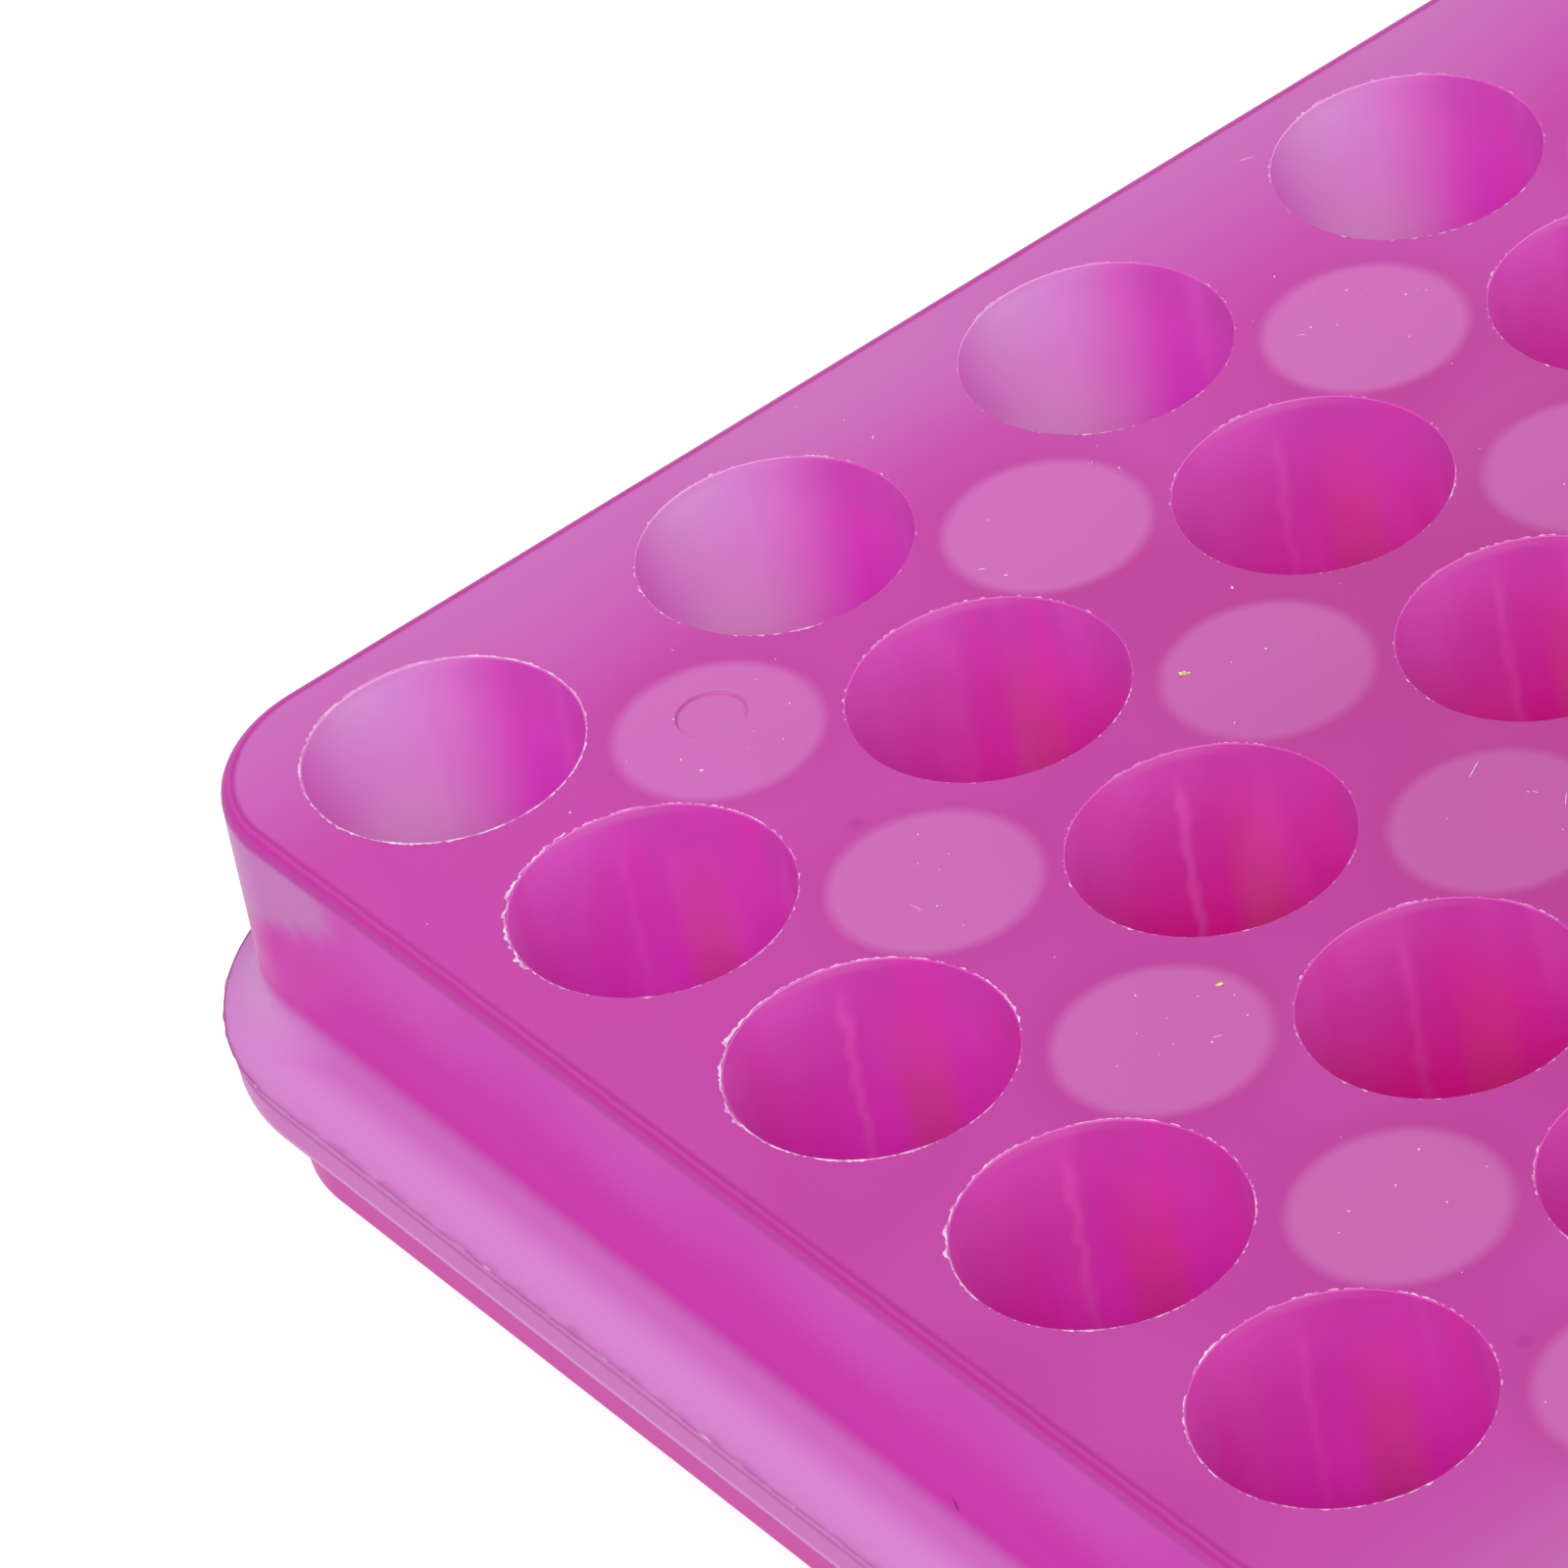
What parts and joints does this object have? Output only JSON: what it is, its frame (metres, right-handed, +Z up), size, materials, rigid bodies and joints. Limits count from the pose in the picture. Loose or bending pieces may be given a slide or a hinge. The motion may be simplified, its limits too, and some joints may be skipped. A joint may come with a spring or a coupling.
{
  "type": "centrifuge tube rack",
  "caption": "Flanged moulded block with wide blind wells in its top face for large centrifuge tubes and narrow ones in its underside for small tubes.",
  "frame": {"origin": "on the table, under the middle of the block", "axes": "+Z up out of the face with the wide wells, +X along the rack's length"},
  "size_m": [0.1156, 0.0834, 0.0197],
  "materials": {
    "pink_polypropylene": "smooth moulded, translucent"
  },
  "bodies": {
    "root": {"rack_body": "pink_polypropylene"}
  },
  "joints": []
}
